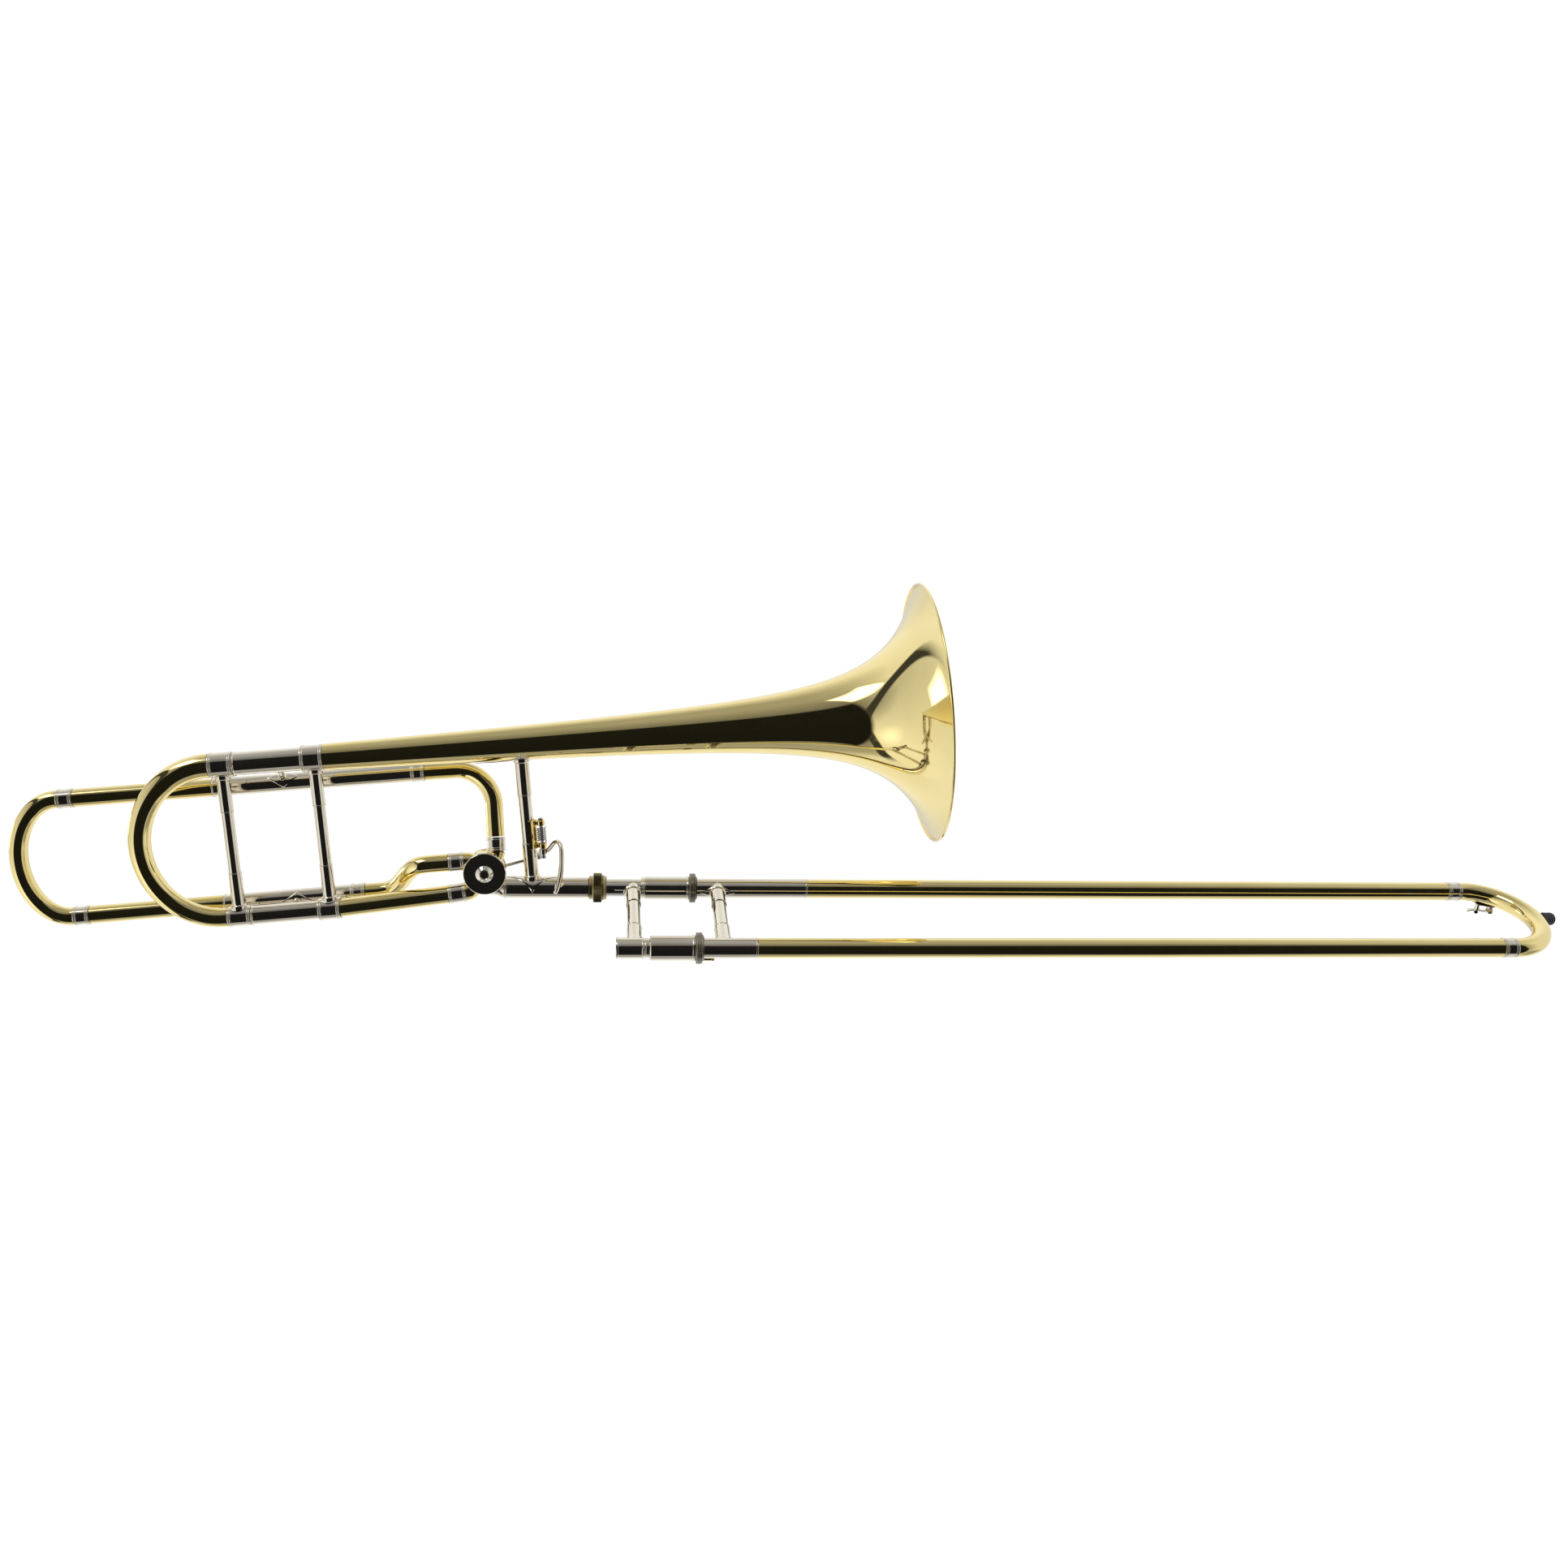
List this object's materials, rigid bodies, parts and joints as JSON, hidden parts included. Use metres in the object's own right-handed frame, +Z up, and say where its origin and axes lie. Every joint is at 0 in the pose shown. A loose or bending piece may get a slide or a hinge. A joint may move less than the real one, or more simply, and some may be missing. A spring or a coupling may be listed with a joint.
{
  "type": "tenor trombone",
  "caption": "Tenor trombone with an F attachment: hand slide, flared bell, tuning slides, rotor valve with thumb trigger, and water key.",
  "frame": {"origin": "on the slide receiver axis at the foot of the bell brace, where the left hand holds the instrument", "axes": "+X along the slide towards the slide crook, +Y to the player's left, +Z up; the bell section lies in the XZ plane, tilted up 5.23 degrees"},
  "size_m": [1.2778, 0.216, 0.295],
  "materials": {
    "lacquered_brass": "clear lacquered, polished",
    "nickel_silver": "polished nickel silver",
    "chromed_tube": "chromed, polished",
    "bronze_nut": "knurled, dark brass",
    "dark_nickel": "knurled, dark nickel",
    "gold_brass": "polished",
    "spring_steel": "drawn wire and turned screws",
    "black_rubber": "matt",
    "cork": "natural cork"
  },
  "bodies": {
    "bell_section": {"bell": "lacquered_brass", "upper_tuning_socket": "nickel_silver", "lower_tuning_socket": "nickel_silver", "lower_leg_tube": "lacquered_brass", "valve_casing": "lacquered_brass", "valve_cap": "nickel_silver", "valve_back_plate": "lacquered_brass", "stop_cork_upper": "cork", "stop_cork_lower": "cork", "slide_receiver": "nickel_silver", "bell_brace": "nickel_silver", "body_brace": "nickel_silver", "f_upper_sleeve": "nickel_silver", "f_lower_sleeve": "nickel_silver", "f_upper_bend": "lacquered_brass", "f_lower_bend": "lacquered_brass", "upper_depth_brace": "nickel_silver", "lower_depth_brace": "nickel_silver", "trigger_bracket": "gold_brass", "trigger_pin": "spring_steel", "trigger_spring": "spring_steel"},
    "main_tuning_slide": {"tuning_bow": "lacquered_brass", "tuning_upper_ferrule": "nickel_silver", "tuning_lower_ferrule": "nickel_silver", "tuning_upper_leg": "nickel_silver", "tuning_lower_leg": "nickel_silver", "tuning_brace": "nickel_silver"},
    "f_tuning_slide": {"f_bow": "lacquered_brass", "f_upper_bow_ferrule": "nickel_silver", "f_lower_bow_ferrule": "nickel_silver", "f_upper_leg": "lacquered_brass", "f_lower_leg": "lacquered_brass"},
    "rotor_valve": {"rotor": "lacquered_brass", "stop_arm": "gold_brass"},
    "thumb_trigger": {"trigger_lever": "nickel_silver"},
    "linkage": {"linkage_rod": "spring_steel"},
    "tenon": {"slide_tenon": "nickel_silver"},
    "inner_slide": {"upper_inner_tube": "chromed_tube", "lower_inner_tube": "chromed_tube", "upper_cork_barrel": "nickel_silver", "lower_cork_barrel": "nickel_silver", "upper_barrel_ring": "dark_nickel", "mouthpiece_receiver": "nickel_silver", "inner_brace": "nickel_silver"},
    "receiver_nut": {"lock_nut": "bronze_nut"},
    "slide_lock": {"slide_lock_ring": "dark_nickel"},
    "hand_slide": {"upper_slide_sleeve": "nickel_silver", "lower_slide_sleeve": "nickel_silver", "upper_slide_tube": "lacquered_brass", "lower_slide_tube": "lacquered_brass", "outer_brace": "nickel_silver", "upper_crook_ferrule": "nickel_silver", "lower_crook_ferrule": "nickel_silver", "slide_crook": "lacquered_brass", "rubber_bumper": "black_rubber", "lock_pin": "gold_brass", "water_key_saddle": "nickel_silver", "water_key_screw": "spring_steel"},
    "water_key": {"water_key_lever": "nickel_silver", "water_key_cork": "cork"}
  },
  "joints": [
    {"name": "main_tuning_slide_pull", "type": "slide", "parent": "bell_section", "child": "main_tuning_slide", "axis": [-0.9958, 0, -0.0911], "range_m": [0, 0.055]},
    {"name": "f_tuning_slide_pull", "type": "slide", "parent": "bell_section", "child": "f_tuning_slide", "axis": [-0.9958, 0, -0.0911], "range_m": [0, 0.07]},
    {"name": "trigger_press", "type": "hinge", "parent": "bell_section", "child": "thumb_trigger", "pos_m": [0.00904, -0.003, 0.0307], "axis": [0.0911, 0, -0.9958], "range_deg": [0, 28], "stiffness_Nm_per_rad": 0.12, "springref_deg": -17.19},
    {"name": "rotor_turn", "type": "hinge", "parent": "bell_section", "child": "rotor_valve", "pos_m": [-0.03707, 0, 0.01388], "axis": [0, -1, 0], "range_deg": [0, 90]},
    {"name": "linkage_swing", "type": "hinge", "parent": "thumb_trigger", "child": "linkage", "pos_m": [0.00408, 0.02038, 0.02096], "axis": [0.0911, 0, -0.9958], "range_deg": [-28, 0]},
    {"name": "slide_withdraw", "type": "slide", "parent": "bell_section", "child": "tenon", "axis": [1, 0, 0], "range_m": [0, 0.04]},
    {"name": "slide_swivel", "type": "hinge", "parent": "tenon", "child": "inner_slide", "pos_m": [0.056, 0, 0], "axis": [1, 0, 0], "range_deg": [-20, 20]},
    {"name": "lock_nut_turn", "type": "hinge", "parent": "inner_slide", "child": "receiver_nut", "pos_m": [0.052, 0, 0], "axis": [1, 0, 0], "continuous": true},
    {"name": "slide_lock_turn", "type": "hinge", "parent": "inner_slide", "child": "slide_lock", "pos_m": [0.131, -0.08832, -0.02574], "axis": [1, 0, 0], "range_deg": [0, 30]},
    {"name": "hand_slide_travel", "type": "slide", "parent": "inner_slide", "child": "hand_slide", "axis": [1, 0, 0], "range_m": [0, 0.56]},
    {"name": "water_key_press", "type": "hinge", "parent": "hand_slide", "child": "water_key", "pos_m": [0.82317, 0.00014, -0.01517], "axis": [0.5479, 0.8031, 0.2341], "range_deg": [0, 20], "stiffness_Nm_per_rad": 0.04, "springref_deg": -28.65}
  ],
  "couplings": [
    {"joint": "rotor_turn", "follows": "trigger_press", "ratio": 3.2143},
    {"joint": "linkage_swing", "follows": "trigger_press", "ratio": -1}
  ]
}
